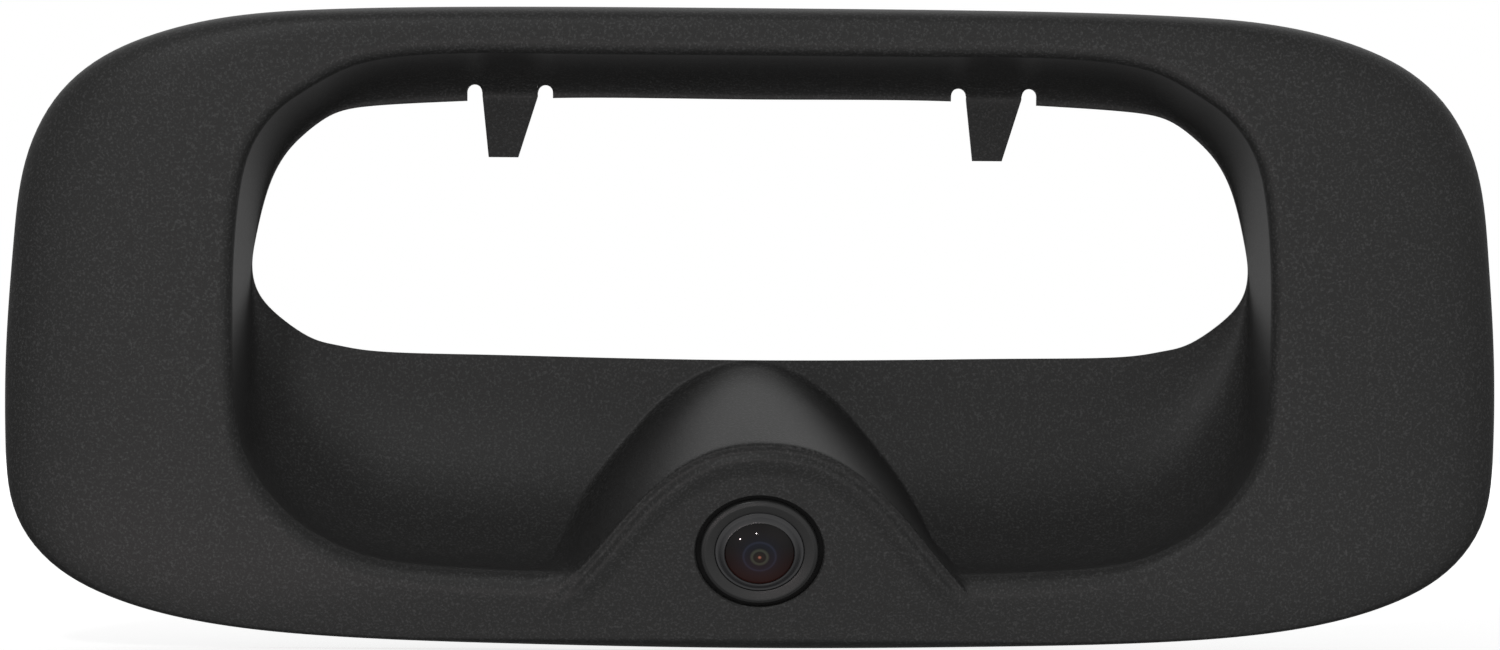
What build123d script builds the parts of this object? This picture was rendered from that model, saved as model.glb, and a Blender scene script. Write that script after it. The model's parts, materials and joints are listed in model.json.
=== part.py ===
"""Tailgate handle bezel with a built-in backup camera.

Frame, in millimetres: +X to the right seen from outside the vehicle, +Z up, and the front of the
bezel faces -Y. The origin is the middle of the rim's seat plane, the flat rear edge of the rim
that lies on the tailgate skin at y = 0.

Camera pieces are drawn in the camera's own frame: its z = 0 is the flat face of the nose, +z
points out of the lens, and its origin is the middle of the camera bore.
"""

import os
from math import cos, hypot, radians, sin, sqrt

from build123d import *

# ---------------------------------------------------------------- driving dimensions
HALF_HEIGHT = 75.0          # rim, centre to top and to bottom
LIP_Y = -18.0               # front plane of the recess lip
OPENING_Y = 24.0            # rear edge of the recess, where the handle opening is
REAR_Y = 25.5               # rearmost face of the moulding
WALL = 2.6                  # moulding wall

FACE_TILT = 27.3            # nose face and lens look down by this many degrees
FACE_FOOT_Y = -10.0         # where the nose face meets the bottom of the rim
NOSE_X = 2.0                # the nose stands slightly right of the middle
LENS_Z = -51.6              # height of the lens centre on the nose face

BORE_R = 15.0               # camera bore in the nose
HOUSING_R = 13.55           # round front of the camera housing
FLANGE_R = 17.0             # housing flange behind the nose face
BODY_SIDE = 28.0            # square body of the camera housing
BODY_CORNER_R = 4.0
FLANGE_FRONT, FLANGE_BACK = -3.4, -6.4      # levels along the lens axis, behind the nose face
GASKET_FRONT, GASKET_BACK = -18.6, -19.2
COVER_BACK = -29.0
SENSOR_BOARD_BACK, SENSOR_BOARD_FRONT = -16.4, -15.4
POWER_BOARD_BACK, POWER_BOARD_FRONT = -21.8, -20.6
BOARD_R = 11.6
FRONT_GLASS_R = 8.5
SECOND_GLASS_R = 5.15
REAR_GLASS_R = 4.2
HOLDER_SCREW_X = 8.9        # lens holder screws, from the lens axis
SCREW_PITCH = 11.2          # housing screws, from the lens axis, both ways
BRACKET_SCREW_X = 20.5      # bracket screws, from the lens axis

TAB_XS = {"left": -58.2, "right": 58.2}
TAB_ROOT_WIDTH = 13.4
TAB_TIP_WIDTH = 7.1
TAB_TIP_SHIFT = -1.5        # the tip leans to the left on both tabs
TAB_THICKNESS = 1.7
TAB_TIP_Z = 40.8
TAB_HINGE_Y = 23.8
TAB_HINGE_Z = 58.0
TAB_RUNNING_GAP = 0.05
NOTCH_R = 1.8               # relief notch at each side of a tab's root
NOTCH_TOP_Z = 58.2

RIB_XS = (138.0, 152.0)     # stiffening ribs behind each side of the rim
RIB_THICKNESS = 1.6
LUG_WIDTH = 14.0            # retention lugs
TOP_LUG_X, TOP_LUG_Z = 72.0, 66.8
BOTTOM_LUG_X, BOTTOM_LUG_Z = 67.2, -60.2
LUG_HOOK = 4.8              # length of the hook at the end of a lug
BOSS_R = 3.4                # bosses for the bracket screws

# Half outlines from the top centre clockwise to the bottom centre, as (x, z). The three lists
# match point by point: rim silhouette, recess lip and handle opening.
SILHOUETTE = [
    (0, 75), (60, 74.8), (110, 73.2), (140, 68), (160, 57), (172, 34),
    (175, -8), (174, -37), (166, -54), (140, -66.8), (80, -73.3), (0, -75),
]
LIP = [
    (0, 65.4), (48, 65.4), (80, 64.4), (104, 57.9), (116, 42), (121.3, 22),
    (122.2, -6), (120.5, -27), (112, -43), (94, -53.8), (56, -57.6), (0, -58.5),
]
OPENING = [
    (0, 55.2), (48, 55.2), (78, 53.6), (98, 50.8), (112, 40.8), (117.8, 28),
    (119.9, 14), (113.4, 2.2), (103.2, -4.1), (86, -6.5), (44, -7.1), (0, -7.6),
]

# Crown of the rim: height of each section, and how far it has moved from the silhouette to the
# lip at the sides and top, and at the bottom, where the rim follows the tilted nose face.
CROWN = [
    (0.0, 0.0, 0.0), (-7.0, 0.03, 0.02), (-12.0, 0.15, 0.24), (-15.0, 0.45, 0.59), (LIP_Y, 1.0, 1.0),
]
MOUTH_OVERSIZE = 3.0        # slope cut round the mouth of the recess: wider than the lip here,
MOUTH_FRONT_Y = LIP_Y - 2.0  # in front of it,
MOUTH_BACK_Y = LIP_Y + 2.5  # and inside it by MOUTH_UNDERSIZE here
MOUTH_UNDERSIZE = 0.5
RECESS_START_Y = LIP_Y + 1.0

# Half outlines of the nose from its top centre down: the face, in the camera's frame, and the
# root, on an upright plane behind the scoop.
NOSE_FACE = [(0, 27.0), (19.3, 21.0), (28.5, 12.0), (38.4, -0.8), (48.9, -13.7), (57.0, -24.4)]
NOSE_ROOT = [(0, -10.0), (18.4, -17.6), (27.8, -27.2), (35.5, -36.8), (41.0, -47.0), (45.0, -64.0)]
NOSE_ROOT_Y = 22.0


# ---------------------------------------------------------------- frames and helpers
def face_y(z):
    """Depth of the nose face at height z."""
    return FACE_FOOT_Y - (z + HALF_HEIGHT) * sin(radians(FACE_TILT)) / cos(radians(FACE_TILT))


CAMERA_PLANE = Plane(
    origin=(NOSE_X, face_y(LENS_Z), LENS_Z),
    x_dir=(1, 0, 0),
    z_dir=(0, -cos(radians(FACE_TILT)), -sin(radians(FACE_TILT))),
)


def at_camera(shape):
    """Move a piece drawn in the camera's frame to its place in the bezel."""
    return CAMERA_PLANE.location * shape


def mirrored(half):
    """Close a half outline with its mirror image: the full loop, starting at the top centre."""
    return half + [(-x, z) for x, z in reversed(half[1:-1])]


def grown(loop, distance):
    """The loop with each point moved outwards along the loop's normal there."""
    moved = []
    for i, (x, z) in enumerate(loop):
        (ax, az), (bx, bz) = loop[i - 1], loop[(i + 1) % len(loop)]
        length = hypot(bx - ax, bz - az)
        moved.append((x - distance * (bz - az) / length, z + distance * (bx - ax) / length))
    return moved


def blended(loop_a, loop_b, amounts):
    """Points of loop_a moved towards loop_b by the amount given for each point."""
    return [
        (ax + t * (bx - ax), az + t * (bz - az))
        for (ax, az), (bx, bz), t in zip(loop_a, loop_b, amounts)
    ]


def section(loop, y):
    """A flat face at depth y inside a smooth closed curve through the loop."""
    return make_face(Spline(*[(x, y, z) for x, z in loop], periodic=True))


def turned(points):
    """Solid of revolution about the lens axis from a closed (radius, height) profile."""
    return revolve(make_face(Plane.XZ * Polyline(*points, close=True)), Axis.Z)


def disc(radius, bottom, top, x=0.0, y=0.0):
    """Plain cylinder between two heights."""
    return Pos(x, y, (bottom + top) / 2) * Cylinder(radius, top - bottom)


def block(width, depth, bottom, top, x=0.0, y=0.0):
    """Plain block between two heights."""
    return Pos(x, y, (bottom + top) / 2) * Box(width, depth, top - bottom)


def rounded_block(side, corner_r, bottom, top):
    """Square block with rounded corners between two heights."""
    return Pos(0, 0, bottom) * extrude(RectangleRounded(side, side, corner_r), top - bottom)


def cap_arc(radius, edge_z, rise):
    """Half of a spherical cap's section, from the lens axis out to the given radius."""
    if rise == 0:
        return Line((0, edge_z), (radius, edge_z))
    ball = (radius**2 + rise**2) / (2 * abs(rise))
    half_way = sqrt(ball**2 - radius**2 / 4) - (ball - abs(rise))
    middle = (radius / 2, edge_z + (half_way if rise > 0 else -half_way))
    return ThreePointArc((0, edge_z + rise), middle, (radius, edge_z))


def lens(radius, edge_bottom, edge_top, front, rear):
    """Round lens element. front and rear are (radius, rise) of its two curved faces, inside a
    flat margin; a positive rise bulges towards the front of the camera."""
    (front_r, front_rise), (rear_r, rear_rise) = front, rear
    outline = cap_arc(front_r, edge_top, front_rise) + cap_arc(rear_r, edge_bottom, rear_rise)
    outline += Line((radius, edge_top), (radius, edge_bottom))
    outline += Line((0, edge_bottom + rear_rise), (0, edge_top + front_rise))
    if front_r < radius:
        outline += Line((front_r, edge_top), (radius, edge_top))
    if rear_r < radius:
        outline += Line((radius, edge_bottom), (rear_r, edge_bottom))
    return revolve(make_face(Plane.XZ * outline), Axis.Z)


# ---------------------------------------------------------------- bezel
SILHOUETTE_LOOP = mirrored(SILHOUETTE)
LIP_LOOP = mirrored(LIP)
OPENING_LOOP = mirrored(OPENING)


def bottom_share(x, z):
    """0 on the sides and top of the rim, 1 along its bottom edge."""
    return max(0.0, -z / HALF_HEIGHT) ** 3


def rim_loop(side_share, bottom_amount):
    """Rim outline part of the way from the silhouette to the lip."""
    amounts = [
        side_share + bottom_share(x, z) * (bottom_amount - side_share)
        for x, z in SILHOUETTE_LOOP
    ]
    return blended(SILHOUETTE_LOOP, LIP_LOOP, amounts)


def cove(depth_share):
    """Quarter-ellipse from the lip (0) to the opening (1)."""
    return 1 - sqrt(max(0.0, 1 - depth_share**2))


def rim_solid():
    """The crowned rim, filled."""
    return loft([section(rim_loop(side, bottom), y) for y, side, bottom in CROWN], ruled=True)


def rim_hollow():
    """The hollow behind the rim, one wall inside its front, open at the rear."""
    sections = [section(grown(SILHOUETTE_LOOP, -WALL), 1.0)]
    for y, side, bottom in CROWN[1:-1]:
        sections.append(section(grown(rim_loop(side, bottom), -WALL), y + WALL * (0.3 + side)))
    sections.append(section(LIP_LOOP, LIP_Y + WALL))
    return loft(sections, ruled=True)


def recess(lip_loop, start_y, end_y, ellipse_depth):
    """Recess from the lip back to the opening, with coved walls."""
    depths = [0.0, 0.3, 0.55, 0.75, 0.9, 1.0]
    sections = []
    for share in depths:
        y = start_y + share * (end_y - start_y)
        amount = cove(min(1.0, (y - LIP_Y) / ellipse_depth))
        sections.append(section(blended(lip_loop, OPENING_LOOP, [amount] * len(lip_loop)), y))
    return loft(sections)


def mouth():
    """Sloped cut that eases the lip between the rim's crown and the recess."""
    front = section(grown(LIP_LOOP, MOUTH_OVERSIZE), MOUTH_FRONT_Y)
    back = section(grown(LIP_LOOP, -MOUTH_UNDERSIZE), MOUTH_BACK_Y)
    return loft([front, back], ruled=True)


def nose_loop(half, inset):
    """Open bell outline of the nose from lower left to lower right, drawn in by a wall."""
    pts = [(0.0, half[0][1] - inset)]
    pts += [(x - inset, z - 0.55 * inset) for x, z in half[1:]]
    return [(-x, z) for x, z in reversed(pts[1:])] + pts


def nose_face_outline(inset):
    """Flat face inside the nose's front outline."""
    pts = nose_loop(NOSE_FACE, inset)
    curve = Spline(*pts)
    return make_face(curve + Line(pts[-1], pts[0]))


def nose_solid(inset, front, rear_y):
    """The nose as a ruled solid from its flat face back to its root behind the scoop."""
    face = CAMERA_PLANE.location * (Pos(0, 0, front) * nose_face_outline(inset))
    pts = [(x + NOSE_X, rear_y, z) for x, z in nose_loop(NOSE_ROOT, inset)]
    root = make_face(Spline(*pts) + Line(pts[-1], pts[0]))
    return loft([face, root], ruled=True)


def tab_window(centre_x):
    """What is cut from the opening's top edge for one tab: two notches, the gap and the groove."""
    left = centre_x - TAB_ROOT_WIDTH / 2
    right = centre_x + TAB_ROOT_WIDTH / 2
    middle_y = TAB_HINGE_Y - 0.55
    depth, height = 7.0, 10.0
    plate = Box(TAB_ROOT_WIDTH + 0.2, depth, height)
    window = Pos(centre_x, middle_y, TAB_HINGE_Z - height / 2) * plate
    for x in (left - NOTCH_R, right + NOTCH_R):
        notch_z = NOTCH_TOP_Z - NOTCH_R
        window += Pos(x, middle_y, notch_z) * Rot(90, 0, 0) * Cylinder(NOTCH_R, depth)
        window += Pos(x, middle_y, notch_z - height / 2) * Box(2 * NOTCH_R, depth, height)
    groove_r = TAB_THICKNESS / 2 + TAB_RUNNING_GAP
    groove = Rot(0, 90, 0) * Cylinder(groove_r, TAB_ROOT_WIDTH + 0.2)
    return window + Pos(centre_x, TAB_HINGE_Y, TAB_HINGE_Z) * groove


def release_tab(centre_x):
    """Tapered spring tab with a half-round bead on top and a catch on its back."""
    half_root, half_tip = TAB_ROOT_WIDTH / 2 - 0.05, TAB_TIP_WIDTH / 2
    outline = Polyline(
        (-half_root, TAB_HINGE_Z), (half_root, TAB_HINGE_Z),
        (half_root, TAB_HINGE_Z - 2.5),
        (TAB_TIP_SHIFT + half_tip, TAB_TIP_Z), (TAB_TIP_SHIFT - half_tip, TAB_TIP_Z),
        (-half_root, TAB_HINGE_Z - 2.5),
        close=True,
    )
    blade = extrude(Plane.XZ * make_face(outline), TAB_THICKNESS / 2, both=True)
    bead = Pos(0, 0, TAB_HINGE_Z) * Rot(0, 90, 0) * Cylinder(TAB_THICKNESS / 2, 2 * half_root)
    catch_z = TAB_TIP_Z + 1.2
    wedge = Polyline((0, catch_z), (2.3, catch_z + 3.4), (0, catch_z + 3.4), close=True)
    catch = extrude(Plane.YZ * make_face(wedge), half_tip - 1.0, both=True)
    return Pos(centre_x, TAB_HINGE_Y, 0) * (blade + bead + Pos(TAB_TIP_SHIFT, 0, 0) * catch)


def stiffening_ribs(hollow):
    """Upright ribs behind the side lobes of the rim."""
    plate = Pos(0, -9.5, 0) * Box(RIB_THICKNESS, 13, 2 * HALF_HEIGHT)
    return [(Pos(side * x, 0, 0) * plate) & hollow for side in (-1, 1) for x in RIB_XS]


def retention_lugs():
    """Hooked lugs that reach back through the tailgate skin and catch behind it."""
    top = Pos(0, 1.0, TOP_LUG_Z) * Box(LUG_WIDTH, 16, 2.4)
    top += Pos(0, 6.6, TOP_LUG_Z + 2.0) * Box(LUG_WIDTH, LUG_HOOK, 2.8)
    bottom = Pos(0, -2.0, BOTTOM_LUG_Z) * Box(LUG_WIDTH, 18, 4.0)
    bottom += Pos(0, 4.6, BOTTOM_LUG_Z - 3.8) * Box(LUG_WIDTH, LUG_HOOK, 6.0)
    lugs = [Pos(side * TOP_LUG_X, 0, 0) * top for side in (-1, 1)]
    return lugs + [Pos(side * BOTTOM_LUG_X, 0, 0) * bottom for side in (-1, 1)]


def bezel_shell():
    """The whole moulding: crowned rim, coved recess, handle opening and camera nose."""
    hollow = rim_hollow()
    wall_depth = OPENING_Y + WALL - LIP_Y
    recess_wall = recess(grown(LIP_LOOP, WALL), LIP_Y + WALL, REAR_Y, wall_depth)
    recess_space = recess(LIP_LOOP, RECESS_START_Y, OPENING_Y, OPENING_Y - LIP_Y)
    opening_cut = section(OPENING_LOOP, OPENING_Y - 0.05)
    recess_space += extrude(opening_cut, REAR_Y - OPENING_Y + 1.0, dir=(0, 1, 0))

    nose = nose_solid(0, 0, NOSE_ROOT_Y)
    nose_hollow = nose_solid(WALL, -WALL, NOSE_ROOT_Y + 6)
    front_zone = Pos(0, -34, 0) * Box(200, 40, 160)
    nose_skin = nose & (recess_wall + front_zone)
    face_cut = at_camera(extrude(nose_face_outline(0), 5))

    rim = rim_solid() - face_cut - hollow
    shell = rim + recess_wall + nose_skin
    shell -= mouth() - nose
    shell -= recess_space - nose
    shell -= nose_hollow

    for plate in stiffening_ribs(hollow - recess_wall):
        shell += plate
    for lug in retention_lugs():
        shell += lug
    for x in (-BRACKET_SCREW_X, BRACKET_SCREW_X):
        shell += at_camera(disc(BOSS_R, FLANGE_BACK, -WALL / 2, x))
        shell -= at_camera(disc(1.1, FLANGE_BACK, -3.2, x))
    shell -= at_camera(disc(BORE_R, -WALL - 2, 3))
    for x in TAB_XS.values():
        shell -= tab_window(x)
    return shell


# ---------------------------------------------------------------- camera: sealed housing
def camera_seal_ring():
    """Rubber ring between the camera and the bore, with a flange behind the nose face."""
    return turned([
        (HOUSING_R, FLANGE_FRONT), (FLANGE_R, FLANGE_FRONT), (FLANGE_R, -WALL), (BORE_R, -WALL),
        (BORE_R, -0.9), (HOUSING_R, -0.9),
    ])


def housing_screw_holes(radius, bottom, top):
    """The four screw positions at the corners of the camera body."""
    return [
        disc(radius, bottom, top, sx * SCREW_PITCH, sy * SCREW_PITCH)
        for sx in (-1, 1)
        for sy in (-1, 1)
    ]


def camera_front_housing():
    """Dished round front, clamping flange and the front half of the square body."""
    front = turned([
        (0, -8.0), (HOUSING_R, -8.0), (HOUSING_R, -0.4), (13.2, 0.2), (12.4, 0.5), (10.5, 0.05),
        (10.3, -0.1), (0, -0.1),
    ])
    housing = front + disc(FLANGE_R, FLANGE_BACK, FLANGE_FRONT)
    housing += rounded_block(BODY_SIDE, BODY_CORNER_R, GASKET_FRONT, FLANGE_BACK)
    housing -= disc(10.3, -6.2, 1)
    housing -= disc(6.2, -9, 0)
    housing -= disc(10.6, SENSOR_BOARD_FRONT, -8.0)
    housing -= disc(BOARD_R + 0.2, -19, SENSOR_BOARD_FRONT)
    for hole in housing_screw_holes(1.0, -19, -13.0):
        housing -= hole
    return housing


def housing_gasket():
    """Flat square gasket between the two halves of the body."""
    gasket = rounded_block(BODY_SIDE, BODY_CORNER_R, GASKET_BACK, GASKET_FRONT) - disc(12.4, -20, -18)
    for hole in housing_screw_holes(1.1, -20, -18):
        gasket -= hole
    return gasket


def rear_cover():
    """Rear half of the body, with the cable hole in its back."""
    cover = rounded_block(BODY_SIDE, BODY_CORNER_R, COVER_BACK, GASKET_BACK)
    cover = fillet(cover.faces().sort_by(Axis.Z)[0].edges(), 1.0)
    cover -= disc(BOARD_R + 0.2, POWER_BOARD_BACK, -19)
    cover -= disc(10.6, -27.4, POWER_BOARD_BACK)
    cover -= disc(4.0, -30, -27)
    for hole in housing_screw_holes(1.1, -30, -19):
        cover -= hole
    return cover


def housing_screws():
    """Four pan-head screws that close the body from behind."""
    shanks = housing_screw_holes(1.0, -29.2, -13.4)
    heads = housing_screw_holes(1.9, COVER_BACK - 1.2, COVER_BACK)
    sockets = housing_screw_holes(0.8, -30.5, -29.6)
    return [shank + head - socket for shank, head, socket in zip(shanks, heads, sockets)]


def cable_grommet():
    """Rubber grommet in the rear cover, ending in a short tapered boot."""
    return turned([
        (2.25, -36.0), (3.3, -36.0), (4.4, -30.2), (5.6, -30.2), (5.6, COVER_BACK), (4.0, COVER_BACK),
        (4.0, -27.4), (5.2, -27.4), (5.2, -26.2), (2.25, -26.2),
    ])


# ---------------------------------------------------------------- camera: lens
def lens_barrel():
    """Stepped barrel that carries the glass; its rear half screws into the holder."""
    return turned([
        (6.0, -13.0), (6.0, -5.4), (9.9, -5.4), (9.9, -0.15), (9.3, 0.2), (9.3, -0.9),
        (FRONT_GLASS_R, -0.9), (FRONT_GLASS_R, -2.3), (SECOND_GLASS_R, -2.3),
        (SECOND_GLASS_R, -5.4), (REAR_GLASS_R, -5.4), (REAR_GLASS_R, -10.6),
        (3.4, -10.6), (3.4, -13.0),
    ])


def lens_retainer_ring():
    """Threaded ring with a conical front that holds the front glass in the barrel."""
    return turned([(8.55, -0.9), (9.3, -0.9), (9.3, 0.2), (8.12, 0.78), (8.1, 0.7), (8.55, 0.52)])


def lens_front_element():
    """Large domed front glass, hollow behind."""
    return lens(FRONT_GLASS_R, -2.3, 0.5, (FRONT_GLASS_R, 1.9), (4.9, 1.9))


def lens_spacer():
    """Ring between the front and the second glass."""
    return turned([(4.95, -3.9), (SECOND_GLASS_R, -3.9), (SECOND_GLASS_R, -2.3), (4.95, -2.3)])


def lens_second_element():
    """Second glass."""
    return lens(SECOND_GLASS_R, -5.4, -3.9, (4.7, 0.5), (3.4, 0.9))


def aperture_stop():
    """Cup with the small hole that lets the light through."""
    return turned([
        (1.1, -5.8), (3.6, -5.8), (3.6, -6.6), (REAR_GLASS_R, -6.6), (REAR_GLASS_R, -5.4), (1.1, -5.4),
    ])


def lens_third_element():
    """Third glass, bulging both ways."""
    return lens(REAR_GLASS_R, -7.6, -6.6, (3.5, 0.6), (3.5, -0.7))


def lens_rear_spacer():
    """Ring between the third and the rear glass."""
    return turned([(3.7, -9.2), (REAR_GLASS_R, -9.2), (REAR_GLASS_R, -7.6), (3.7, -7.6)])


def lens_rear_element():
    """Rear glass."""
    return lens(REAR_GLASS_R, -10.6, -9.2, (3.5, 0.5), (3.3, -0.4))


def lens_o_ring():
    """Seal between the lens barrel and the housing."""
    return Pos(0, 0, -5.8) * Torus(7.6, 0.4)


# ---------------------------------------------------------------- camera: electronics
def lens_holder():
    """Threaded tube on a square foot, with the filter seat inside."""
    holder = disc(7.4, -14, -8.6) + block(15, 15, SENSOR_BOARD_FRONT, -13.9)
    holder += block(20.4, 4.6, SENSOR_BOARD_FRONT, -13.9)
    holder -= disc(6.0, -13.0, -8)
    holder -= block(5.5, 5.5, -14, -12.9)
    holder -= block(9, 9, -16, -13.6)
    for x in (-HOLDER_SCREW_X, HOLDER_SCREW_X):
        holder -= disc(0.8, -16, -14.1, x)
    return holder


def lens_holder_screws():
    """Two small screws through the board into the holder's foot."""
    screws = []
    for x in (-HOLDER_SCREW_X, HOLDER_SCREW_X):
        screws.append(disc(0.8, -16.5, -14.3, x) + disc(1.4, -17.2, SENSOR_BOARD_BACK, x))
    return screws


def ir_filter():
    """Infrared filter glued in the holder."""
    return block(7, 7, -14.0, -13.6)


def image_sensor():
    """Sensor chip under the lens."""
    return block(6.4, 5.8, SENSOR_BOARD_FRONT, -14.6)


def sensor_board():
    """Round board on the housing's ledge."""
    board = disc(BOARD_R, SENSOR_BOARD_BACK, SENSOR_BOARD_FRONT)
    for x in (-HOLDER_SCREW_X, HOLDER_SCREW_X):
        board -= disc(0.9, -17, -15, x)
    return board


def board_socket():
    """Half of the board-to-board connector on the sensor board."""
    return block(8, 3.2, -18.3, SENSOR_BOARD_BACK, y=-6.5) - block(6.6, 1.2, -18.4, -17.2, y=-6.5)


def board_plug():
    """Other half of the connector, on the power board."""
    return block(8, 3.2, POWER_BOARD_FRONT, -18.3, y=-6.5) + block(6.4, 1.0, -18.4, -17.4, y=-6.5)


def power_board():
    """Round board on the rear cover's ledge."""
    return disc(BOARD_R, POWER_BOARD_BACK, POWER_BOARD_FRONT)


def power_inductor():
    """Coil of the power supply."""
    return block(4.8, 4.8, POWER_BOARD_FRONT, -18.7, x=-4.6, y=3.4)


def voltage_regulator():
    """Regulator chip."""
    return block(3.0, 3.0, POWER_BOARD_FRONT, -19.6, x=2.6, y=1.0)


def filter_capacitors():
    """Two can capacitors."""
    return [disc(1.9, POWER_BOARD_FRONT, -18.5, x, y) for x, y in ((6.4, 5.2), (1.6, 7.4))]


def cable_header():
    """Four-way header for the camera lead."""
    header = block(9, 4, -25.8, POWER_BOARD_BACK) - block(7.6, 2.6, -26, -22.8)
    for i in range(4):
        header += block(0.5, 0.5, -25.2, -22.6, x=-3 + 2 * i)
    return header


# ---------------------------------------------------------------- camera: fastening
def camera_bracket():
    """Plate that clamps the housing flange against the nose face."""
    outline = RectangleRounded(50, 13, 6) + RectangleRounded(36, 35, 5)
    plate = Pos(0, 0, -8.0) * extrude(outline, 1.6)
    plate -= block(BODY_SIDE + 0.4, BODY_SIDE + 0.4, -9, -6)
    for x in (-BRACKET_SCREW_X, BRACKET_SCREW_X):
        plate -= disc(1.4, -9, -6, x)
    return plate


def bracket_screws():
    """Two screws that hold the bracket on its bosses."""
    screws = []
    for x in (-BRACKET_SCREW_X, BRACKET_SCREW_X):
        screw = disc(1.1, -8.2, -3.3, x) + disc(2.4, -9.8, -8.0, x)
        screws.append(screw - disc(1.0, -10, -9.0, x))
    return screws


CAMERA_PIECES = [
    camera_seal_ring, camera_front_housing, housing_gasket, rear_cover, housing_screws,
    cable_grommet, lens_barrel, lens_retainer_ring, lens_front_element, lens_spacer,
    lens_second_element, aperture_stop, lens_third_element, lens_rear_spacer,
    lens_rear_element, lens_o_ring, lens_holder, lens_holder_screws, ir_filter,
    image_sensor, sensor_board, board_socket, board_plug, power_board, power_inductor,
    voltage_regulator, filter_capacitors, cable_header, camera_bracket, bracket_screws,
]


def all_pieces():
    """Every node's name with its shape, in place."""
    pieces = {"bezel_shell": bezel_shell()}
    for side, x in TAB_XS.items():
        pieces[f"release_tab_{side}"] = release_tab(x)
    for make in CAMERA_PIECES:
        shape = make()
        if isinstance(shape, list):
            pieces[make.__name__] = Compound(children=[at_camera(each) for each in shape])
        else:
            pieces[make.__name__] = at_camera(shape)
    return pieces


os.makedirs("parts", exist_ok=True)
for name, shape in all_pieces().items():
    export_step(shape, f"parts/{name}.step")
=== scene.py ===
"""Visual model of the tailgate handle bezel with its backup camera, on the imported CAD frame.

Same axes as the CAD: +X to the right seen from outside the vehicle, +Z up, the front faces -Y,
and the rim's seat is the plane y = 0. Lengths are written in millimetres and turned into metres
where a mesh is made. Camera pieces are drawn in the camera's own frame: z = 0 is the flat face
of the nose and +z points out of the lens.
"""

import json
from math import cos, pi, radians, sin

import bmesh
import bpy
import numpy as np
from mathutils import Matrix, Vector


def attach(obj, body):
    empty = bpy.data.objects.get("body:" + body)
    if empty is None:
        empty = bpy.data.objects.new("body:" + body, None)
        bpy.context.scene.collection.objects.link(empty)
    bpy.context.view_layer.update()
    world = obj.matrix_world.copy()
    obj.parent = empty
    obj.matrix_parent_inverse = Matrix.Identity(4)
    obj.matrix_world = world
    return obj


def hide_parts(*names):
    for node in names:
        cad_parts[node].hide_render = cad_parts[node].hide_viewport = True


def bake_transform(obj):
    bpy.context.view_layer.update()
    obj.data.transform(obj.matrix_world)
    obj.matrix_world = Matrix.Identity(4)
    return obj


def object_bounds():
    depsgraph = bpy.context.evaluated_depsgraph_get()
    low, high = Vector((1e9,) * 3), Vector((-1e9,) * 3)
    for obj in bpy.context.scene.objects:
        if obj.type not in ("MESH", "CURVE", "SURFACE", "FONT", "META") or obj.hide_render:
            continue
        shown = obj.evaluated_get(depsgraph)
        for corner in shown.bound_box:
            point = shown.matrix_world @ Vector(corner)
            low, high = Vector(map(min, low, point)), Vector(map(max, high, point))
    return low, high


MM = 0.001

# ---------------------------------------------------------------- shape, in millimetres
FACE_TILT = radians(27.3)       # nose face and lower rim look down by this angle
FACE_FOOT = (-10.0, -75.1)      # y and z where the nose face meets the bottom edge
NOSE_X = 2.0
LENS_Z = -51.6
WALL = 2.6
OPENING_Y = 24.0                # rear edge of the visible recess
REAR_Y = 25.5                   # rearmost edge of the moulding
REAR_LEDGE = 1.8                # width of the ledge round the opening, seen from behind

# Half outlines from the top centre clockwise to the bottom centre, as (x, z), matching point by
# point: rim silhouette, straight wall of the recess just inside the lip, and handle opening.
SILHOUETTE = [
    (0, 75), (62, 74.8), (100, 73.9), (124, 71.8), (141, 67.6), (154.5, 61.2),
    (164, 52.4), (170.2, 40), (173.4, 19), (174.9, -5), (174.9, -28), (172.2, -45),
    (165.2, -55), (150, -64), (126.8, -70), (98, -72.9), (60, -74.3), (0, -75.1),
]
INNER_WALL = [
    (0, 63.4), (45, 63.4), (75, 63), (92.7, 60.3), (102, 55.7), (109, 51),
    (113.6, 46), (117.6, 38), (120.3, 18), (120.5, -2), (119.4, -22), (115, -34.5),
    (108, -43), (98, -49.8), (86, -54), (66, -56), (45, -56.6), (0, -57.2),
]
OPENING = [
    (0, 55.2), (45, 55.2), (72, 54.1), (92, 52.8), (101, 50.7), (107, 46.5),
    (111.5, 41.9), (115.4, 35), (118.9, 22), (119.9, 14), (118.2, 7.5), (113.2, 2),
    (107, -2.3), (100, -4.6), (90, -6.1), (68, -6.7), (45, -7.1), (0, -7.6),
]

# Pairs of values hold at the sides and top of the rim, and at its bottom.
LIP_RADIUS = (3.5, 4.5)
LIP_CENTRE_Y = (-14.5, -11.93)
BACK_LIP_Y = (-15.4, -12.6)     # front of the hollow behind the lip
CROWN_POWER = (2.6, 4.0)        # fullness of the rim's crown, at the sides and at the top
TOP_SECTION_Z = (45, 70)        # heights between which the sides' crown becomes the top's
LOW_EDGE_ROUNDING = 3.0         # rounding of the rim's outer edge along the bottom
LOW_EDGE_POWER = 2.2

# Rows of the moulding's mesh, and gaps between its columns.
CROWN_ROWS, LIP_ROWS, COVE_ROWS = 38, 22, 190
BACK_COVE_ROWS, BACK_RIM_ROWS = 40, 22
NOSE_GAP, TAB_GAP, RIM_GAP = 0.4, 1.2, 2.6

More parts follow.
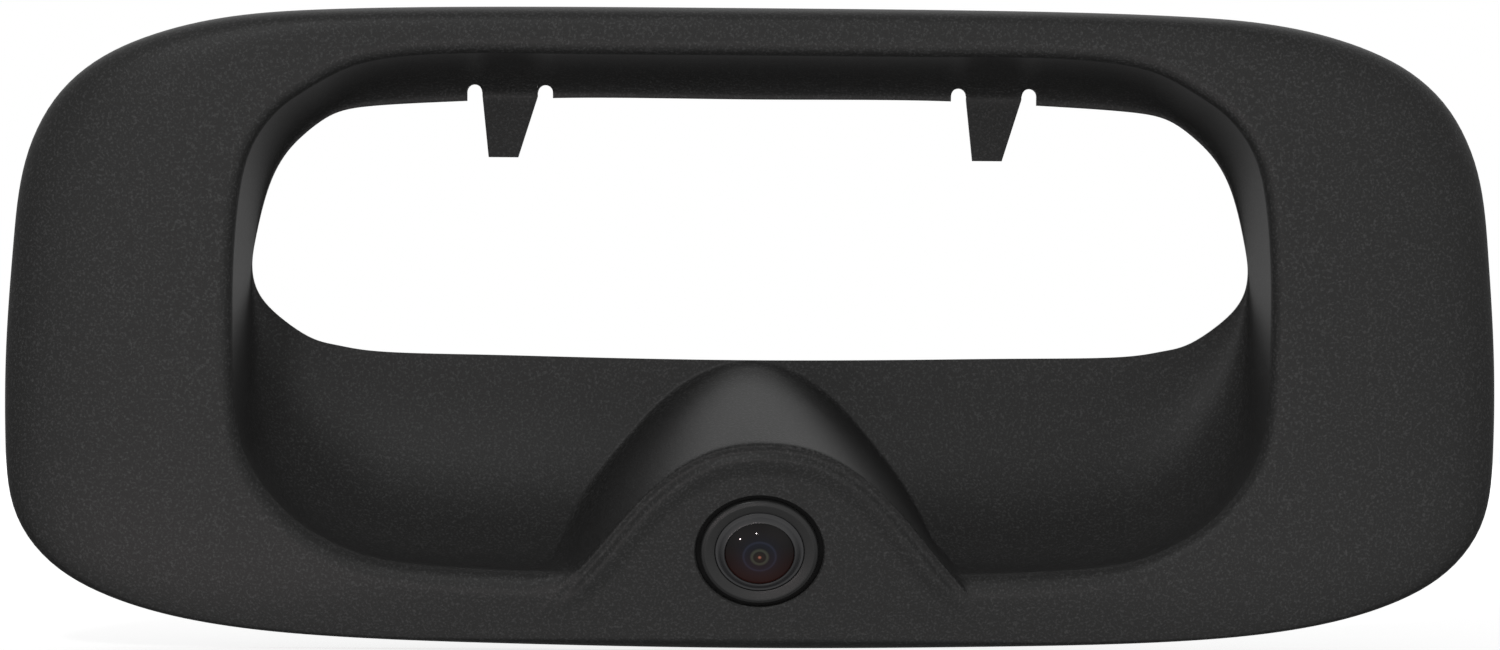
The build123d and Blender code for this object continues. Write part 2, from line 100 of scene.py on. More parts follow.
# Half outlines of the nose from its top down: the edge of its flat face, and its root.
NOSE_EDGE_X, NOSE_ROOT_X = 3.2, 0.0
NOSE_EDGE = [
    (0, -26.4), (11.6, -28), (21.2, -32.9), (30.6, -41.4), (40, -52.6), (47.7, -61.3), (57.7, -74),
]
NOSE_ROOT = [
    (0, -10), (10, -12.3), (18.5, -17.6), (27.7, -27.1), (35.3, -36.6),
    (40.9, -45.9), (44.9, -54), (48.5, -60), (54, -68), (59, -76),
]
NOSE_REACH = 75                 # half width of the region the nose can change
NOSE_SPAN_Z = (-70, -7.7)       # and its heights
NOSE_FADE_Z = (-69, -64)        # heights over which the nose sinks into the lower rim
NOSE_STAND = 12                 # standing this far out of the recess, its roundings are full
NOSE_EDGE_ROUNDING = 3.0
VALLEY_ROUNDING = (3.5, 13.0)   # at the edge of the face, and further up the hood

# Groove and raised bead just inside the edge of the nose face: distance in, and shift back.
BEAD = [(-0.4, 0), (1.4, 0.5), (3.6, -0.9), (7.6, 0)]
BEAD_FADE_Z = (-66, -58)

TABS = {"left": -58.2, "right": 58.2}
TAB_ROOT_WIDTH = 13.3
TAB_TIP_WIDTH = 7.1
TAB_TIP_SHIFT = -1.5
TAB_TIP_Z = 40.8
TAB_ROOT_Z = 58.0
TAB_THICKNESS = 1.6
TAB_TUCK = 1.2                  # length of the root hidden in the moulding
TAB_TAPER = 2.5                 # the taper starts this far below the root
TAB_GAP_TO_WINDOW = 0.05
CATCH_DEPTH, CATCH_LENGTH = 0.5, 3.4
NOTCH_R = 1.8
NOTCH_TOP_Z = 58.2
WINDOW_BOTTOM_Z = 46

# Hidden details: ribs behind the side lobes, lugs with their hooks, bosses for the screws.
RIB_XS = (-152, -138, 138, 152)
RIB_HALF_LENGTH = 58
RIB_HALF_THICKNESS = 0.8
RIB_REAR_Y = -3.0
LUG_HALF_WIDTH = 7
LUGS = [                        # x of the middle, lowest and highest (y, z)
    (72.0, (-7, 65.6), (9, 68.0)), (72.0, (4.2, 67.4), (9, 70.2)),
    (67.2, (-11, -62.2), (7, -58.2)), (67.2, (2.2, -67.0), (7, -61.0)),
]
BOSS_X, BOSS_R = 20.5, 3.4
BOSS_REAR, BOSS_FRONT = -6.4, -1.3

BORE_R = 14.85
BORE_CHAMFER = 0.3
BODY_SIDE, BODY_CORNER_R = 28, 4
BODY_REAR, BODY_FRONT = -18.6, -6.4
GLASS_R, GLASS_EDGE, GLASS_RISE = 8.06, 0.5, 1.9


# ---------------------------------------------------------------- curves
def mix(a, b, t):
    """Blend from a at t = 0 to b at t = 1."""
    return a + (b - a) * t


def smooth(value, low, high):
    """0 below low, 1 above high, and an S-curve between them."""
    t = np.clip((value - low) / (high - low), 0, 1)
    return t * t * (3 - 2 * t)


def smooth_min(a, b, k):
    """The smaller of two surfaces with a rounded joint of size k."""
    k = np.maximum(k, 1e-6)
    h = np.clip(0.5 + 0.5 * (b - a) / k, 0, 1)
    return mix(b, a, h) - k * h * (1 - h)


def smooth_max(a, b, k):
    """The larger of two surfaces with a rounded joint of size k."""
    return -smooth_min(-a, -b, k)


def rounded(t, power):
    """Rounded edge: 0 at t = 0, 1 at t = 1, fuller for a higher power."""
    return (1 - (1 - t) ** power) ** (1 / power)


def spline(points, knots, at):
    """Natural cubic spline through the points, evaluated at the given positions."""
    points, knots = np.asarray(points, float), np.asarray(knots, float)
    step = np.diff(knots)
    slope = np.diff(points, axis=0) / step[:, None]
    inner = len(points) - 2
    system = np.zeros((inner, inner))
    system[range(inner), range(inner)] = 2 * (step[:-1] + step[1:])
    system[range(inner - 1), range(1, inner)] = step[1:-1]
    system[range(1, inner), range(inner - 1)] = step[1:-1]
    bend = np.zeros_like(points)
    bend[1:-1] = np.linalg.solve(system, 6 * np.diff(slope, axis=0))
    i = np.clip(np.searchsorted(knots, at, side="right") - 1, 0, len(step) - 1)
    u = ((at - knots[i]) / step[i])[:, None]
    curve = points[i] * (1 - u) + points[i + 1] * u
    cubic = ((1 - u) ** 3 - (1 - u)) * bend[i] + (u**3 - u) * bend[i + 1]
    return curve + cubic * (step[i] ** 2)[:, None] / 6


def chord_knots(points):
    """Distance along the chords to each point."""
    steps = np.hypot(*np.diff(np.asarray(points, float), axis=0).T)
    return np.concatenate([[0], np.cumsum(steps)])


def mirrored(half):
    """Full loop from a half outline, closed on its first point."""
    return half + [(-x, z) for x, z in reversed(half[:-1])]


SILHOUETTE_KNOTS = chord_knots(mirrored(SILHOUETTE))
ROUND = SILHOUETTE_KNOTS[-1]


def loop_at(half, at):
    """Points of a closed outline at positions measured along the rim's silhouette."""
    loop = mirrored(half)
    three_turns = loop[:-1] + loop[:-1] + loop
    knots = SILHOUETTE_KNOTS[:-1]
    long_knots = np.concatenate([knots - ROUND, knots, SILHOUETTE_KNOTS + ROUND])
    return spline(three_turns, long_knots, at)


def face_plane(z):
    """Depth of the nose face's plane at height z."""
    foot_y, foot_z = FACE_FOOT
    return foot_y - (z - foot_z) * np.tan(FACE_TILT)


# ---------------------------------------------------------------- meshes
def new_object(name, points, faces, smooth_angle=None):
    """Mesh object from points in millimetres, shaded smooth below the given angle."""
    mesh = bpy.data.meshes.new(name)
    mesh.from_pydata((np.asarray(points, float) * MM).tolist(), [], faces)
    mesh.update()
    obj = bpy.data.objects.new(name, mesh)
    bpy.context.scene.collection.objects.link(obj)
    if smooth_angle is not None:
        shade(obj, smooth_angle)
    return obj


def shade(obj, angle):
    """Smooth shading, with edges sharper than the angle left sharp."""
    obj.data.shade_smooth()
    obj.data.set_sharp_from_angle(angle=radians(angle))


def band_faces(rows, columns, closed_columns, closed_rows=False):
    """Quads between neighbouring rows of a grid of points."""
    faces = []
    for r in range(rows if closed_rows else rows - 1):
        below = (r + 1) % rows
        for c in range(columns if closed_columns else columns - 1):
            d = (c + 1) % columns
            faces.append((r * columns + c, r * columns + d, below * columns + d, below * columns + c))
    return faces


def recalculate_normals(obj):
    """Turn the normals of a closed mesh outwards."""
    bm = bmesh.new()
    bm.from_mesh(obj.data)
    bmesh.ops.recalc_face_normals(bm, faces=bm.faces)
    bm.to_mesh(obj.data)
    bm.free()


def cut(obj, cutter):
    """Boolean difference, applied, and the cutter removed."""
    modifier = obj.modifiers.new("cut", "BOOLEAN")
    modifier.operation = "DIFFERENCE"
    modifier.solver = "EXACT"
    modifier.object = cutter
    bpy.context.view_layer.update()
    evaluated = obj.evaluated_get(bpy.context.evaluated_depsgraph_get())
    mesh = bpy.data.meshes.new_from_object(evaluated)
    obj.modifiers.clear()
    obj.data = mesh
    bpy.data.objects.remove(cutter)


def joined(name, parts):
    """One object from several."""
    for part in bpy.context.selected_objects:
        part.select_set(False)
    for part in parts:
        part.select_set(True)
    bpy.context.view_layer.objects.active = parts[0]
    bpy.ops.object.join()
    parts[0].name = name
    parts[0].data.name = name
    return parts[0]


def box(name, low, high):
    """Plain box between two corners."""
    xs, ys, zs = zip(low, high)
    points = [(x, y, z) for x in xs for y in ys for z in zs]
    faces = [(0, 1, 3, 2), (4, 6, 7, 5), (0, 4, 5, 1), (2, 3, 7, 6), (0, 2, 6, 4), (1, 5, 7, 3)]
    return new_object(name, points, faces)


# ---------------------------------------------------------------- bezel
def column_positions():
    """Positions along the silhouette, close together below the nose and above the tabs."""
    nose, tabs = 70, 75
    stretches = [
        (ROUND / 2 - nose, ROUND / 2 + nose, NOSE_GAP),
        (ROUND / 2 + nose, ROUND - tabs, RIM_GAP),
        (ROUND - tabs, ROUND + tabs, TAB_GAP),
        (ROUND + tabs, ROUND * 3 / 2 - nose, RIM_GAP),
    ]
    parts = [np.linspace(a, b, int((b - a) / gap))[:-1] for a, b, gap in stretches]
    return np.concatenate(parts)


def rim_frame(at):
    """Outlines with their outward normals, and how far each column is at the bottom or top."""
    rim = {}
    for name, half in (("silhouette", SILHOUETTE), ("wall", INNER_WALL), ("opening", OPENING)):
        rim[name] = loop_at(half, at)
        ahead = loop_at(half, at + 0.5) - loop_at(half, at - 0.5)
        ahead /= np.hypot(*ahead.T)[:, None]
        rim[name + "_out"] = np.stack([-ahead[:, 1], ahead[:, 0]], axis=1)
    height = rim["silhouette"][:, 1]
    rim["low"] = np.clip(height / FACE_FOOT[1], 0, 1) ** 3
    rim["top"] = smooth(height, *TOP_SECTION_Z)
    return rim


def front_rows(rim):
    """Rows of the visible surface from the seat over the rim and lip back to the opening."""
    low = rim["low"]
    radius = mix(*LIP_RADIUS, low)
    centre_y = mix(*LIP_CENTRE_Y, low)
    first = -FACE_TILT * low
    start = rim["wall"] + rim["wall_out"] * (radius * (1 - np.sin(first)))[:, None]
    start_y = centre_y - radius * np.cos(first)
    rows = []

    width = np.hypot(*(start - rim["silhouette"]).T)
    power = mix(*CROWN_POWER, rim["top"])
    foot_y = FACE_FOOT[0]
    for q in np.linspace(0, 1, CROWN_ROWS)[:-1]:
        t = q * q
        side_y = start_y * rounded(t, power)
        edge = np.minimum(1, t * width / LOW_EDGE_ROUNDING)
        low_y = mix(foot_y, start_y, t) * rounded(edge, LOW_EDGE_POWER)
        rows.append((mix(rim["silhouette"], start, t), mix(side_y, low_y, low)))

    for q in np.linspace(0, 1, LIP_ROWS)[:-1]:
        angle = mix(first, pi / 2, q)
        place = rim["wall"] + rim["wall_out"] * (radius * (1 - np.sin(angle)))[:, None]
        rows.append((place, centre_y - radius * np.cos(angle)))

    for angle in np.linspace(0, pi / 2, COVE_ROWS):
        y = mix(centre_y, OPENING_Y, sin(angle))
        rows.append((mix(rim["wall"], rim["opening"], 1 - cos(angle)), y))
    return rows


def back_rows(rim):
    """Rows of the hidden surface from the rear of the opening out to the seat."""
    low = rim["low"]
    wall = rim["wall"] + rim["wall_out"] * WALL
    opening = rim["opening"] + rim["opening_out"] * REAR_LEDGE
    hollow = rim["silhouette"] - rim["silhouette_out"] * WALL
    front_y = mix(*BACK_LIP_Y, low)
    foot_y = FACE_FOOT[0] + WALL * 1.2
    rows = []
    for angle in np.linspace(pi / 2, 0, BACK_COVE_ROWS):
        rows.append((mix(wall, opening, 1 - cos(angle)), mix(front_y, REAR_Y, sin(angle))))
    for t in np.linspace(1, 0, BACK_RIM_ROWS)[1:-1] ** 1.6:
        side_y = front_y * rounded(t, CROWN_POWER[0])
        low_y = np.minimum(mix(foot_y, front_y, t), 0) * np.minimum(1, t * 5)
        rows.append((mix(hollow, wall, t), mix(side_y, low_y, low)))
    rows.append((hollow, np.zeros(len(hollow))))
    return rows


def nose_line(half, centre_x):
    """Dense open outline of the nose, from its lower left over the top to its lower right."""
    points = [(centre_x - x, z) for x, z in reversed(half[1:])]
    points += [(centre_x + x, z) for x, z in half]
    knots = chord_knots(points)
    return spline(points, knots, np.linspace(0, knots[-1], 90))


def outline_distance(line, x, z):
    """Distance outside the outline, negative inside it, and the height of its nearest point."""
    start, along = line[:-1], np.diff(line, axis=0)
    place = np.stack([x, z], axis=-1)[:, None, :] - start
    share = np.clip((place * along).sum(-1) / (along * along).sum(-1), 0, 1)
    gap = place - share[..., None] * along
    distance = np.hypot(gap[..., 0], gap[..., 1])
    nearest = distance.argmin(axis=1)
    pick = np.arange(len(x)), nearest
    outside = along[nearest, 0] * gap[pick][:, 1] - along[nearest, 1] * gap[pick][:, 0] > 0
    near_z = (start[nearest] + share[pick][:, None] * along[nearest])[:, 1]
    return np.where(outside, distance[pick], -distance[pick]), near_z


def with_nose(x, y, z, inset):
    """Depths of a grid of points after the nose has grown out of it.

    The nose is drawn smaller all round by the inset, for the moulding's inner surface.
    """
    x, y, z = (np.array(a) for a in (x, y, z))
    lowest, highest = NOSE_SPAN_Z
    near = (np.abs(x - NOSE_X) < NOSE_REACH) & (z < highest) & (z > lowest)
    px, py, pz = x[near], y[near], z[near]
    past_edge, edge_z = outline_distance(nose_line(NOSE_EDGE, NOSE_EDGE_X), px, pz)
    past_root, _ = outline_distance(nose_line(NOSE_ROOT, NOSE_ROOT_X), px, pz)
    past_edge, past_root = past_edge + inset, past_root + inset
    least_width = 1.5
    share = past_edge / np.maximum(past_edge - past_root, least_width)
    face = face_plane(pz)
    edge_y = face_plane(edge_z)
    drop = np.clip((py - face) / NOSE_STAND, 0, 1)
    if not inset:
        bead = np.zeros(len(px))
        for (start, before), (end, after) in zip(BEAD, BEAD[1:]):
            bead += (after - before) * smooth(-past_edge, start, end)
        face = face + bead * smooth(pz, *BEAD_FADE_Z)
    hood = edge_y + share * np.maximum(py - edge_y, 0)
    hood = hood + np.maximum(past_root, 0)
    edge_rounding = NOSE_EDGE_ROUNDING * np.clip(drop * 3, 0, 1)
    nose = smooth_max(face + inset / cos(FACE_TILT), hood, edge_rounding)
    valley = mix(*VALLEY_ROUNDING, smooth(share, 0, 0.6)) * drop
    y[near] = mix(py, smooth_min(py, nose, valley), smooth(pz, *NOSE_FADE_Z))
    return y


def bore_cutter():
    """Cutter for the camera bore and the chamfer round its mouth."""
    front, rear = 6, -7
    wide = BORE_R + front
    profile = [(0, rear), (BORE_R, rear), (BORE_R, -BORE_CHAMFER), (wide, wide - BORE_R), (0, front)]
    return lathe("bore", profile, 160)


def window_cutter(side):
    """Cutter for the window round a tab, with a round notch at each side of the tab's root."""
    half = TAB_ROOT_WIDTH / 2 + TAB_GAP_TO_WINDOW
    notch_z = NOTCH_TOP_Z - NOTCH_R
    turn = np.linspace(0, pi, 13)
    left, right = (
        [(x - NOTCH_R * cos(a), notch_z + NOTCH_R * sin(a)) for a in turn]
        for x in (-half - NOTCH_R, half + NOTCH_R)
    )
    root = [(-half, TAB_ROOT_Z), (half, TAB_ROOT_Z)]
    outline = [(-half - 2 * NOTCH_R, WINDOW_BOTTOM_Z)] + left + root + right
    outline.append((half + 2 * NOTCH_R, WINDOW_BOTTOM_Z))
    front_y, rear_y = 17, 30
    return prism("window_" + side, [(TABS[side] + x, z) for x, z in outline], front_y, rear_y)


def prism(name, outline, y0, y1):
    """Upright outline in x and z, extruded from y0 back to y1."""
    count = len(outline)
    points = [(x, y, z) for y in (y0, y1) for x, z in outline]
    faces = [tuple(range(count)), tuple(reversed(range(count, 2 * count)))]
    faces += [(i, count + i, count + (i + 1) % count, (i + 1) % count) for i in range(count)]
    obj = new_object(name, points, faces)
    recalculate_normals(obj)
    return obj


def bezel_surface():
    """The closed moulding, joined at the seat and round the opening, and its back points' count."""
    rim = rim_frame(column_positions())
    front, back = front_rows(rim), back_rows(rim)
    grids = []
    for rows, inset in ((front, 0), (back, WALL)):
        x = np.array([place[:, 0] for place, _ in rows])
        z = np.array([place[:, 1] for place, _ in rows])
        y = with_nose(x, np.array([depth for _, depth in rows]), z, inset)
        grids.append(np.stack([x, y, z], axis=-1))
    rear_edge = grids[0][-1:].copy()
    rear_edge[..., 1] = REAR_Y
    grid = np.concatenate([grids[0], rear_edge, grids[1]])
    rows, columns = grid.shape[:2]
    faces = band_faces(rows, columns, True, closed_rows=True)
    bezel = new_object("bezel", grid.reshape(-1, 3), faces)
    recalculate_normals(bezel)
    return bezel, len(back) * columns


def nearest_depth(points, x, z):
    """Depth of the surface point nearest to a place in the front view."""
    return points[np.hypot(points[:, 0] - x, points[:, 2] - z).argmin(), 1]


def hidden_details(back_points):
    """Ribs behind the side lobes, retention lugs and the bosses for the bracket screws."""
    details = []
    heights = np.linspace(-RIB_HALF_LENGTH, RIB_HALF_LENGTH, 24)
    sunk = 1.0
    for x in RIB_XS:
        outline = [(nearest_depth(back_points, x, z) - sunk, z) for z in heights]
        outline += [(RIB_REAR_Y, heights[-1]), (RIB_REAR_Y, heights[0])]
        count = len(outline)
        points = [
            (x + side, y, z) for side in (-RIB_HALF_THICKNESS, RIB_HALF_THICKNESS) for y, z in outline
        ]
        faces = [tuple(range(count)), tuple(range(count, 2 * count))] + band_faces(2, count, True)
        details.append(new_object("rib", points, faces))
    for side in (-1, 1):
        for x, low, high in LUGS:
            left, right = side * x - LUG_HALF_WIDTH, side * x + LUG_HALF_WIDTH
            details.append(box("lug", (left, *low), (right, *high)))
        boss = [(0, BOSS_REAR), (BOSS_R, BOSS_REAR), (BOSS_R, BOSS_FRONT), (0, BOSS_FRONT)]
        details.append(lathe("boss", boss, 48, x=BOSS_X * side))
    for detail in details:
        recalculate_normals(detail)
    return details


def build_bezel():
    """The moulding with its bore, windows and hidden details."""
    bezel, back_count = bezel_surface()
    points = np.array([v.co for v in bezel.data.vertices]) / MM
    back_points = points[-back_count:]
    for cutter in [bore_cutter()] + [window_cutter(side) for side in TABS]:
        cut(bezel, cutter)
    bezel = joined("bezel", [bezel] + hidden_details(back_points))
    shade(bezel, 40)
    return bezel


def cove_depth(x, z):
    """Depth of the recess's upper wall at a place near its top edge."""
    at = np.linspace(-90, 90, 181)
    wall, opening = loop_at(INNER_WALL, at), loop_at(OPENING, at)
    wall_z = np.interp(x, wall[:, 0], wall[:, 1])
    opening_z = np.interp(x, opening[:, 0], opening[:, 1])
    share = np.clip((wall_z - z) / (wall_z - opening_z), 0, 1)
    return mix(LIP_CENTRE_Y[0], OPENING_Y, np.sqrt(1 - (1 - share) ** 2))


def build_tab(side):
    """Release tab: a tapered plate whose front carries on from the recess's upper wall."""
    centre = TABS[side]
    curved_to_z = 55                # fewer rows below this, where the front is nearly flat
    root_rows = np.linspace(TAB_ROOT_Z + TAB_TUCK, curved_to_z, 18)
    heights = np.concatenate([root_rows, np.linspace(curved_to_z, TAB_TIP_Z, 12)[1:]])
    taper_z = TAB_ROOT_Z - TAB_TAPER
    points = []
    for z in heights:
        taper = np.clip((taper_z - z) / (taper_z - TAB_TIP_Z), 0, 1)
        half = mix(TAB_ROOT_WIDTH, TAB_TIP_WIDTH, taper) / 2
        middle = centre + TAB_TIP_SHIFT * taper
        sunk = 0.25 * np.clip((z - TAB_ROOT_Z) / 0.3, 0, 1)
        front = cove_depth(middle, z) + sunk
        points += [
            (middle + sx * half, front + (TAB_THICKNESS if back else 0), z)
            for sx, back in ((-1, 0), (1, 0), (1, 1), (-1, 1))
        ]
    rows = len(heights)
    faces = band_faces(rows, 4, True) + [(3, 2, 1, 0), tuple(range(4 * rows - 4, 4 * rows))]
    blade = new_object("tab_" + side, points, faces)
    catch_z, back_y = TAB_TIP_Z + 1.2, OPENING_Y + TAB_THICKNESS - 0.05
    half = TAB_TIP_WIDTH / 2 - 1
    middle = centre + TAB_TIP_SHIFT
    wedge = [
        (middle + sx * half, y, z)
        for sx in (-1, 1)
        for y, z in (
            (back_y, catch_z),
            (back_y + CATCH_DEPTH, catch_z + CATCH_LENGTH),
            (back_y, catch_z + CATCH_LENGTH),
        )
    ]
    sides = [(0, 1, 2), (5, 4, 3), (0, 3, 4, 1), (1, 4, 5, 2), (2, 5, 3, 0)]
    catch = new_object("catch_" + side, wedge, sides)
    tab = joined("tab_" + side, [blade, catch])
    recalculate_normals(tab)
    shade(tab, 35)
    return tab


# ---------------------------------------------------------------- camera pieces
def to_camera():
    """Matrix that puts a mesh drawn in the camera's frame in its place, in metres."""
    out = Vector((0, -cos(FACE_TILT), -sin(FACE_TILT)))
    across = Vector((1, 0, 0))
    up = out.cross(across)
    turn = Matrix((across, up, out)).transposed().to_4x4()
    return Matrix.Translation(Vector((NOSE_X, face_plane(LENS_Z), LENS_Z)) * MM) @ turn


def placed(obj, smooth_angle=None):
    """Put a piece drawn in the camera's frame in its place."""
    recalculate_normals(obj)
    if smooth_angle is not None:
        shade(obj, smooth_angle)
    obj.matrix_world = to_camera()
    return obj


def lathe(name, profile, segments=160, smooth_angle=None, x=0.0):
    """Body of revolution from a (radius, height) profile, about the lens axis or beside it."""
    points, faces, rings = [], [], []
    for radius, height in profile:
        if radius == 0:
            rings.append([len(points)])
            points.append((x, 0, height))
        else:
            rings.append(list(range(len(points), len(points) + segments)))
            points += [
                (x + radius * cos(a), radius * sin(a), height)
                for a in np.linspace(0, 2 * pi, segments, endpoint=False)
            ]
    closed = profile[0][0] != 0 or profile[-1][0] != 0
    pairs = list(zip(rings, rings[1:])) + ([(rings[-1], rings[0])] if closed else [])
    for ring, following in pairs:
        for i in range(segments):
            j = (i + 1) % segments
            corners = [ring[i % len(ring)], ring[j % len(ring)]]
            corners += [following[j % len(following)], following[i % len(following)]]
            corners = list(dict.fromkeys(corners))
            if len(corners) > 2:
                faces.append(corners)
    return placed(new_object(name, points, faces), smooth_angle)


def square_block(name, side, corner_r, bottom, top):
    """Square block with rounded corners between two heights, in the camera's frame."""
    reach = side / 2 - corner_r
    corners = ((reach, reach), (-reach, reach), (-reach, -reach), (reach, -reach))
    outline = []
    for turn, corner in enumerate(corners):
        outline += arc(corner, corner_r, 90 * turn, 90 * turn + 90, 10)
    count = len(outline)
    points = [(x, y, z) for z in (bottom, top) for x, y in outline]
    faces = [tuple(range(count)), tuple(range(count, 2 * count))] + band_faces(2, count, True)
    return placed(new_object(name, points, faces), 40)


def arc(centre, radius, start, end, count):
    """Points of a circular arc in a profile, angles in degrees."""
    cx, cz = centre
    angles = np.radians(np.linspace(start, end, count))
    return [(cx + radius * cos(a), cz + radius * sin(a)) for a in angles]


def dome(radius, edge_z, rise, count):
    """Points of a spherical cap from its edge in to the axis."""
    ball = (radius**2 + rise**2) / (2 * rise)
    reach = np.arcsin(radius / ball)
    base = edge_z + rise - ball
    points = [(ball * sin(a), base + ball * cos(a)) for a in np.linspace(reach, 0, count)]
    points[-1] = (0, edge_z + rise)
    return points


def build_camera():
    """The round pieces seen on the nose: sealing ring, dished front, retainer and front glass."""
    seal = [(13.66, -3.4), (17, -3.4), (17, -2.65), (14.84, -2.65), (14.84, -1.1), (13.66, -1.1)]
    front = [(10.35, -6.3), (17, -6.4), (17, -3.4), (13.65, -3.4), (13.65, -0.55)]
    front += arc((12.85, -0.4), 0.8, -10, 60, 8)
    front += arc((12.55, -0.1), 0.6, 50, 110, 6)
    front += [(11.6, 0.3), (11.0, 0.12), (10.6, 0.02), (10.45, -0.05), (10.35, -0.25)]
    retainer = [
        (9.2, -3), (10.3, -3), (10.3, -0.25), (10.15, -0.1), (9.5, -0.05), (8.5, 0.9), (8.25, 0.95),
        (8.08, 0.8), (8.08, -0.8),
    ]
    glass = [(0, 0.1), (GLASS_R, 0.1)] + dome(GLASS_R, GLASS_EDGE, GLASS_RISE, 40)
    dish = lathe("camera_front", front, 192, 35)
    body = square_block("camera_body", BODY_SIDE, BODY_CORNER_R, BODY_REAR, BODY_FRONT)
    return {
        "camera_seal": lathe("camera_seal", seal, 160, 40),
        "camera_front": joined("camera_front", [dish, body]),
        "lens_retainer": lathe("lens_retainer", retainer, 192, 35),
        "front_glass": lathe("front_glass", glass, 128, 60),
    }


# ---------------------------------------------------------------- materials
def material(name, colour, roughness, specular=0.5, metallic=0.0):
    """New material, and its shader node."""
    made = bpy.data.materials.new(name)
    made.use_nodes = True
    shader = made.node_tree.nodes["Principled BSDF"]
    shader.inputs["Base Color"].default_value = (*colour, 1)
    shader.inputs["Roughness"].default_value = roughness
    shader.inputs["Specular IOR Level"].default_value = specular
    shader.inputs["Metallic"].default_value = metallic
    return made, shader


def add_node(made, kind, **settings):
    """New node in a material, with the settings given."""
    node = made.node_tree.nodes.new(kind)
    for key, value in settings.items():
        setattr(node, key, value)
    return node


def object_noise(made, scale, detail=2.0, rough=0.5):
    """Noise in the object's own coordinates."""
    place = add_node(made, "ShaderNodeTexCoord")
    noise = add_node(made, "ShaderNodeTexNoise")
    noise.inputs["Scale"].default_value = scale
    noise.inputs["Detail"].default_value = detail
    noise.inputs["Roughness"].default_value = rough
    made.node_tree.links.new(place.outputs["Object"], noise.inputs["Vector"])
    return noise


def colour_ramp(made, value, stops):
    """Colour from a value, through (position, colour) stops."""
    ramp = add_node(made, "ShaderNodeValToRGB")
    elements = ramp.color_ramp.elements
    while len(elements) < len(stops):
        elements.new(0.5)
    for element, (position, colour) in zip(elements, stops):
        element.position = position
        element.color = (*colour, 1)
    made.node_tree.links.new(value, ramp.inputs["Fac"])
    return ramp


def grained_with_painted_sparkle(name, colour, painted_sparkle, roughness, specular, grain, depth, strength):
    """Moulded plastic: fine grain in relief, and lighter speckles in the colour that are painted
    sparkle of the grain.
    """
    made, shader = material(name, colour, roughness, specular)
    links = made.node_tree.links
    noise = object_noise(made, grain, 3.0, 0.6)
    # Lighter speckles: painted sparkle standing in for the glints the grain catches; the grain's
    # relief comes from the bump below.
    ramp = colour_ramp(made, noise.outputs["Fac"], [(0.5, colour), (0.72, painted_sparkle)])
    links.new(ramp.outputs["Color"], shader.inputs["Base Color"])
    bump = add_node(made, "ShaderNodeBump")
    bump.inputs["Strength"].default_value = strength
    bump.inputs["Distance"].default_value = depth * MM
    links.new(noise.outputs["Fac"], bump.inputs["Height"])
    links.new(bump.outputs["Normal"], shader.inputs["Normal"])
    return made


def even(name, colour, roughness, specular=0.5, metallic=0.0, variation=0.15, scale=300):
    """Plain finish with a slight unevenness in its roughness."""
    made, shader = material(name, colour, roughness, specular, metallic)
    noise = object_noise(made, scale)
    spread = add_node(made, "ShaderNodeMapRange")
    spread.inputs["To Min"].default_value = max(0.0, roughness - variation * roughness)
    spread.inputs["To Max"].default_value = min(1.0, roughness + variation * roughness)
    made.node_tree.links.new(noise.outputs["Fac"], spread.inputs["Value"])
    made.node_tree.links.new(spread.outputs["Result"], shader.inputs["Roughness"])
    return made


def glass_with_painted_reflections():
    """Dark front glass with painted reflections: the inner elements' reflections as faint rings, a
    bright painted red glint at the middle, and a painted reddish reflection low down.
    """
    made, shader = material("lens_glass", (0.012, 0.012, 0.016), 0.05, 0.22)
    links = made.node_tree.links
    place = add_node(made, "ShaderNodeTexCoord")
    flat = add_node(made, "ShaderNodeVectorMath", operation="MULTIPLY")
    per_radius = 1 / (GLASS_R * MM)
    flat.inputs[1].default_value = (per_radius, per_radius, 0)
    links.new(place.outputs["Object"], flat.inputs[0])
    radius = add_node(made, "ShaderNodeVectorMath", operation="LENGTH")
    links.new(flat.outputs["Vector"], radius.inputs[0])
    # Painted reflections: coloured rings from the inner elements and a bright red glint at the middle,
    # not the glass's own colour.
    rings = colour_ramp(made, radius.outputs["Value"], [
        (0.0, (0.5, 0.2, 0.15)), (0.035, (0.3, 0.1, 0.06)), (0.06, (0.02, 0.014, 0.01)),
        (0.17, (0.008, 0.009, 0.008)), (0.21, (0.055, 0.062, 0.045)), (0.24, (0.05, 0.055, 0.04)),
        (0.29, (0.006, 0.007, 0.012)), (0.42, (0.008, 0.010, 0.02)), (0.46, (0.022, 0.026, 0.048)),
        (0.51, (0.007, 0.007, 0.012)), (0.75, (0.007, 0.005, 0.006)), (1.0, (0.004, 0.003, 0.003)),
    ])
    # Painted reddish reflection over the lower part of the glass.
    split = add_node(made, "ShaderNodeSeparateXYZ")
    links.new(flat.outputs["Vector"], split.inputs[0])
    low = add_node(made, "ShaderNodeMapRange")
    for socket, value in (("From Min", 0.3), ("From Max", -0.9), ("To Min", 0.0), ("To Max", 1.0)):
        low.inputs[socket].default_value = value
    links.new(split.outputs["Y"], low.inputs["Value"])
    painted_red_reflection = colour_ramp(made, low.outputs["Result"], [(0.0, (0, 0, 0)), (1.0, (0.030, 0.008, 0.006))])
    both = add_node(made, "ShaderNodeMix", data_type="RGBA", blend_type="ADD")
    both.inputs["Factor"].default_value = 1.0
    colour_a, colour_b, colour_out = both.inputs[6], both.inputs[7], both.outputs[2]
    links.new(rings.outputs["Color"], colour_a)
    links.new(painted_red_reflection.outputs["Color"], colour_b)
    links.new(colour_out, shader.inputs["Base Color"])
    return made


def dress(obj, finish):
    """Give every face of a piece one finish."""
    obj.data.materials.clear()
    obj.data.materials.append(finish)
    for polygon in obj.data.polygons:
        polygon.material_index = 0


